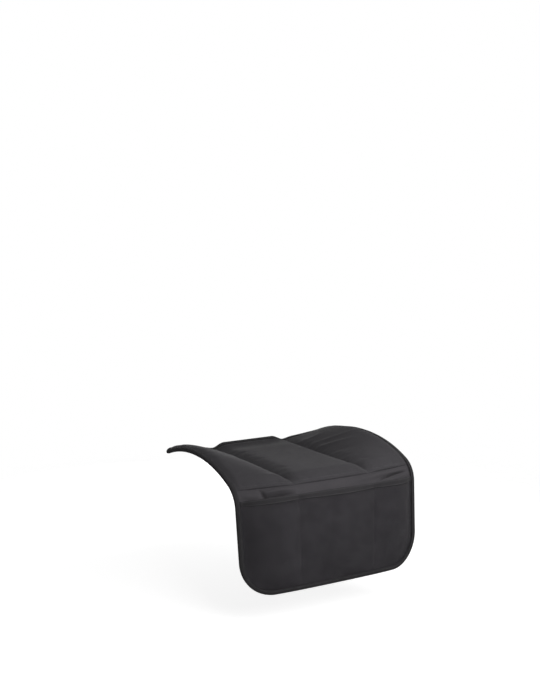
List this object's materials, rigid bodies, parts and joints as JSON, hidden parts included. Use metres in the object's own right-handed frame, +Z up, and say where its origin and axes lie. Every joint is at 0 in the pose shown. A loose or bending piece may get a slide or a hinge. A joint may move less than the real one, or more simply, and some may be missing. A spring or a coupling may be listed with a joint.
{
  "type": "car seat protector mat",
  "caption": "Padded mat that lies over a car seat cushion, with sewn channels, a non-slip underside, a bound edge and a front flap with net pockets.",
  "frame": {"origin": "middle of the flat patch of the mat's underside, where it lies on the seat cushion", "axes": "+X across the seat, -Y to the front of the seat, +Z up"},
  "size_m": [0.4606, 0.407, 0.2749],
  "materials": {
    "seat_panel": "matt dark grey cloth, fine diagonal weave, padded",
    "anti_slip_backing": "matt black coated cloth with small grip dots",
    "front_flap": "matt dark grey cloth",
    "pocket_net": "fine black net",
    "pocket_hem": "matt woven tape",
    "edge_binding": "matt woven tape"
  },
  "bodies": {
    "root": {"seat_panel": "seat_panel", "anti_slip_backing": "anti_slip_backing", "front_flap": "front_flap", "pocket_net": "pocket_net", "pocket_hem": "pocket_hem", "edge_binding": "edge_binding"}
  },
  "joints": []
}
